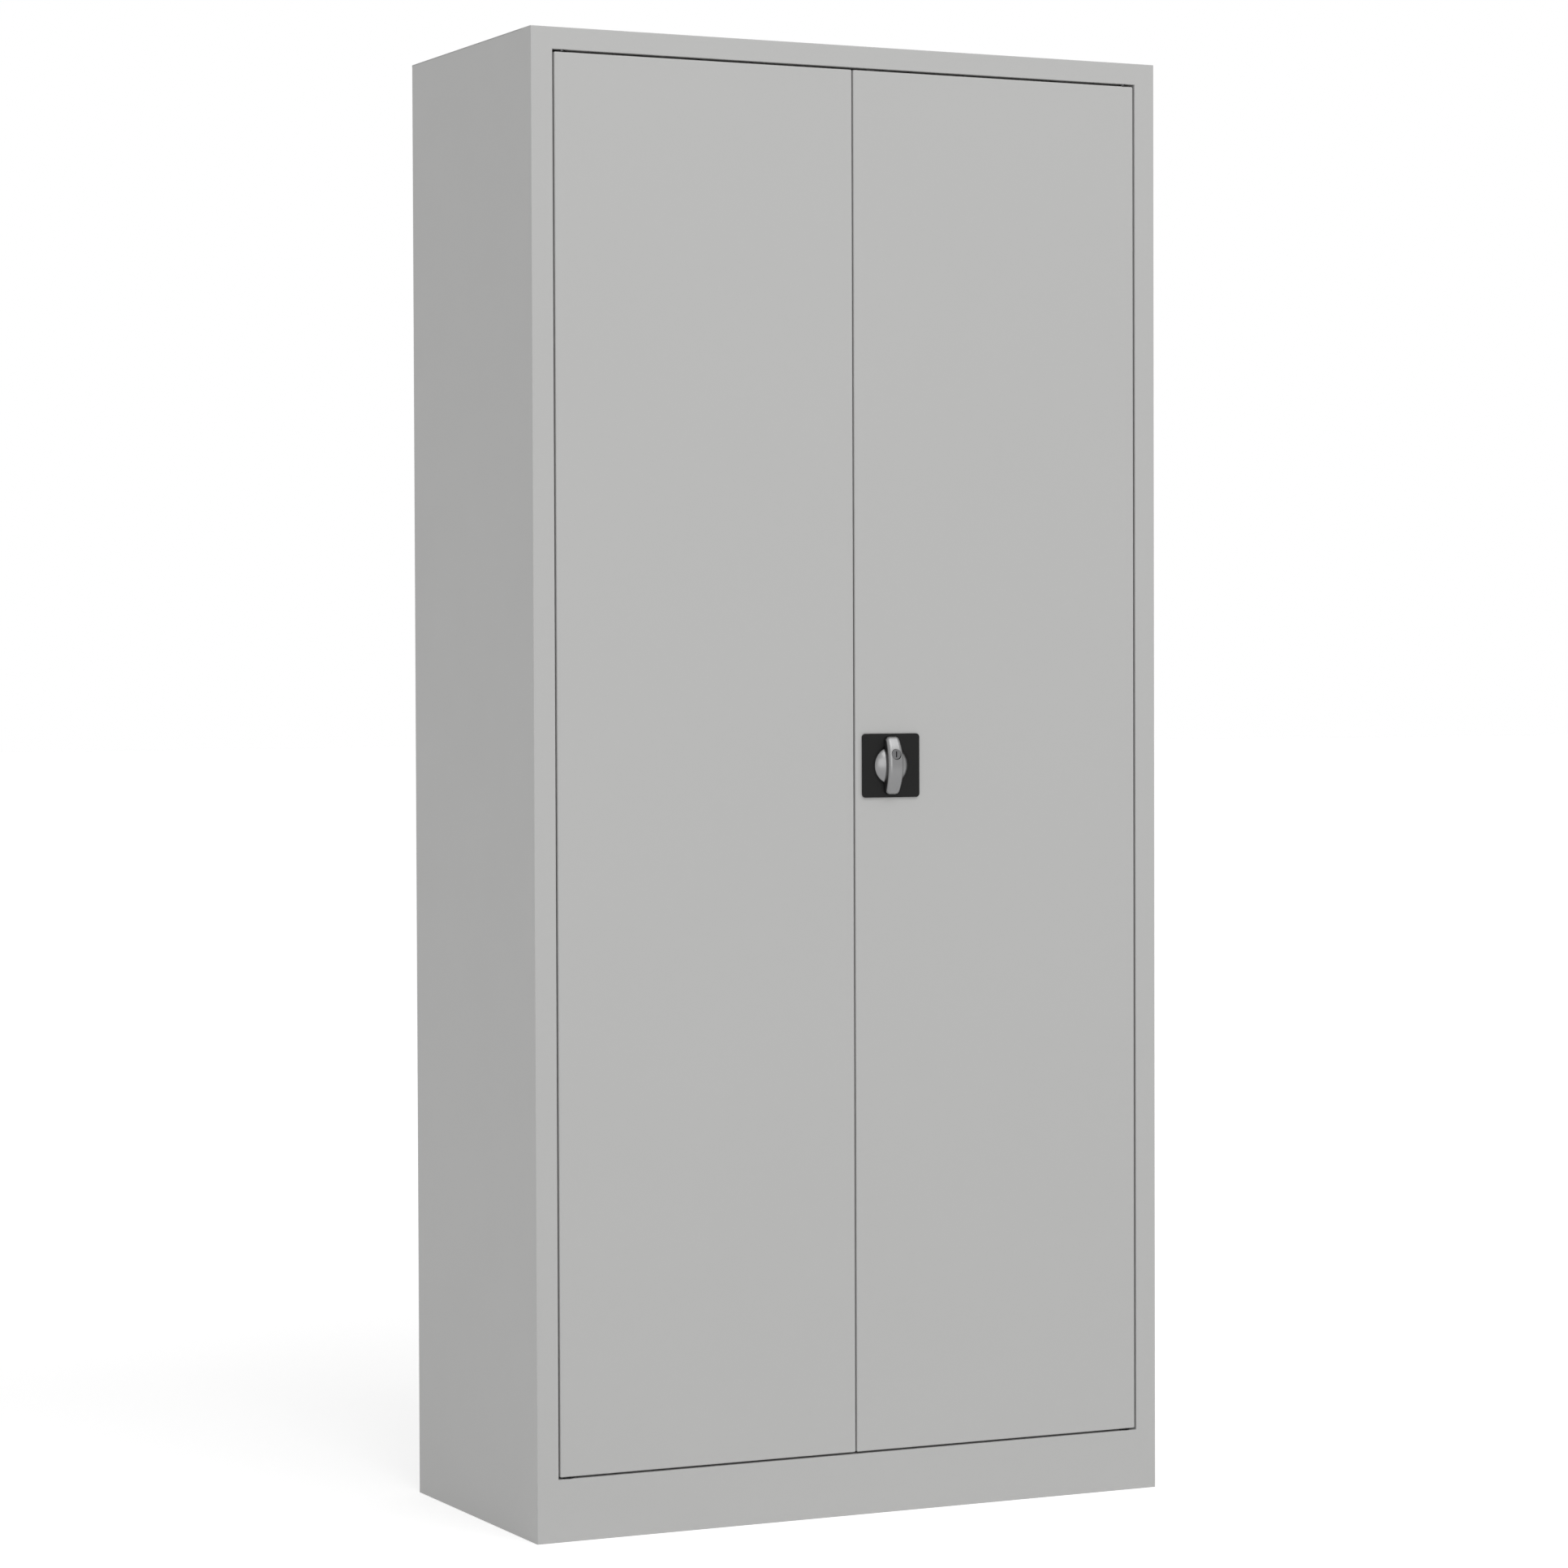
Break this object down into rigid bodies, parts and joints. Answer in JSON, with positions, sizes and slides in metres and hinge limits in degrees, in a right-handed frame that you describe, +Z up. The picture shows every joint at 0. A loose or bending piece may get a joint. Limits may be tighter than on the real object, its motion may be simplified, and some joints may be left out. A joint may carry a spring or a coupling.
{
  "type": "storage cabinet",
  "caption": "Tall steel storage cabinet with flush hinged doors, a turn handle that drives locking rods, and shelves hung on slotted uprights.",
  "frame": {"origin": "the middle of the bounding box's footprint, on the floor; the box includes the handle, so the carcass front lies at y = -0.1997 and its back at y = 0.2203", "axes": "+Z up, the front with its doors faces -Y, +X to the right as seen from the front"},
  "size_m": [0.92, 0.4406, 1.95],
  "materials": {
    "powder_coat": "light grey powder coat on sheet steel, semi-matt, very fine texture",
    "zinc_plate": "bright zinc-plated steel",
    "satin_chrome": "satin chrome on die-cast zinc",
    "black_plastic": "matt black moulded plastic",
    "white_nylon": "natural white nylon",
    "grey_rubber": "dark grey rubber",
    "dark_steel": "plain machined steel"
  },
  "bodies": {
    "carcass": {"left_side_panel": "powder_coat", "left_stile": "powder_coat", "right_side_panel": "powder_coat", "right_stile": "powder_coat", "roof_panel": "powder_coat", "top_rail": "powder_coat", "top_stop": "powder_coat", "plinth_front": "powder_coat", "floor_panel": "powder_coat", "back_panel": "powder_coat", "front_left_upright": "powder_coat", "rear_left_upright": "powder_coat", "front_right_upright": "powder_coat", "rear_right_upright": "powder_coat", "left_top_hinge_pin": "dark_steel", "left_bottom_hinge_pin": "dark_steel", "right_top_hinge_pin": "dark_steel", "right_bottom_hinge_pin": "dark_steel", "left_top_buffer": "grey_rubber", "left_bottom_buffer": "grey_rubber", "right_top_buffer": "grey_rubber", "right_bottom_buffer": "grey_rubber", "shelf_1": "powder_coat", "shelf_1_front_left_clip": "zinc_plate", "shelf_1_rear_left_clip": "zinc_plate", "shelf_1_front_right_clip": "zinc_plate", "shelf_1_rear_right_clip": "zinc_plate", "shelf_2": "powder_coat", "shelf_2_front_left_clip": "zinc_plate", "shelf_2_rear_left_clip": "zinc_plate", "shelf_2_front_right_clip": "zinc_plate", "shelf_2_rear_right_clip": "zinc_plate", "shelf_3": "powder_coat", "shelf_3_front_left_clip": "zinc_plate", "shelf_3_rear_left_clip": "zinc_plate", "shelf_3_front_right_clip": "zinc_plate", "shelf_3_rear_right_clip": "zinc_plate", "shelf_4": "powder_coat", "shelf_4_front_left_clip": "zinc_plate", "shelf_4_rear_left_clip": "zinc_plate", "shelf_4_front_right_clip": "zinc_plate", "shelf_4_rear_right_clip": "zinc_plate"},
    "left_door": {"left_door": "powder_coat", "left_door_top_bush": "black_plastic", "left_door_bottom_bush": "black_plastic"},
    "right_door": {"right_door": "powder_coat", "right_door_top_bush": "black_plastic", "right_door_bottom_bush": "black_plastic", "handle_plate": "black_plastic", "lock_case": "zinc_plate", "upper_lock_screw": "zinc_plate", "lower_lock_screw": "zinc_plate", "upper_rod_guide": "white_nylon", "lower_rod_guide": "white_nylon"},
    "handle": {"turn_handle": "satin_chrome", "pinion": "dark_steel"},
    "key_plug": {"key_plug": "dark_steel"},
    "upper_rod": {"upper_rod": "zinc_plate"},
    "lower_rod": {"lower_rod": "zinc_plate"}
  },
  "joints": [
    {"name": "left_door_hinge", "type": "hinge", "parent": "carcass", "child": "left_door", "pos_m": [-0.4145, -0.1927, 1], "axis": [0, 0, -1], "range_deg": [0, 110]},
    {"name": "right_door_hinge", "type": "hinge", "parent": "carcass", "child": "right_door", "pos_m": [0.4145, -0.1927, 1], "axis": [0, 0, 1], "range_deg": [0, 110]},
    {"name": "handle_turn", "type": "hinge", "parent": "right_door", "child": "handle", "pos_m": [0.053, -0.2, 0.998], "axis": [0, 1, 0], "range_deg": [0, 90]},
    {"name": "key_turn", "type": "hinge", "parent": "handle", "child": "key_plug", "pos_m": [0.053, -0.21, 1.013], "axis": [0, 1, 0], "range_deg": [0, 90]},
    {"name": "upper_rod_slide", "type": "slide", "parent": "right_door", "child": "upper_rod", "axis": [0, 0, 1], "range_m": [0, 0.01885]},
    {"name": "lower_rod_slide", "type": "slide", "parent": "right_door", "child": "lower_rod", "axis": [0, 0, -1], "range_m": [0, 0.01885]}
  ],
  "couplings": [
    {"joint": "upper_rod_slide", "follows": "handle_turn", "m_per_rad": 0.012},
    {"joint": "lower_rod_slide", "follows": "handle_turn", "m_per_rad": 0.012}
  ]
}
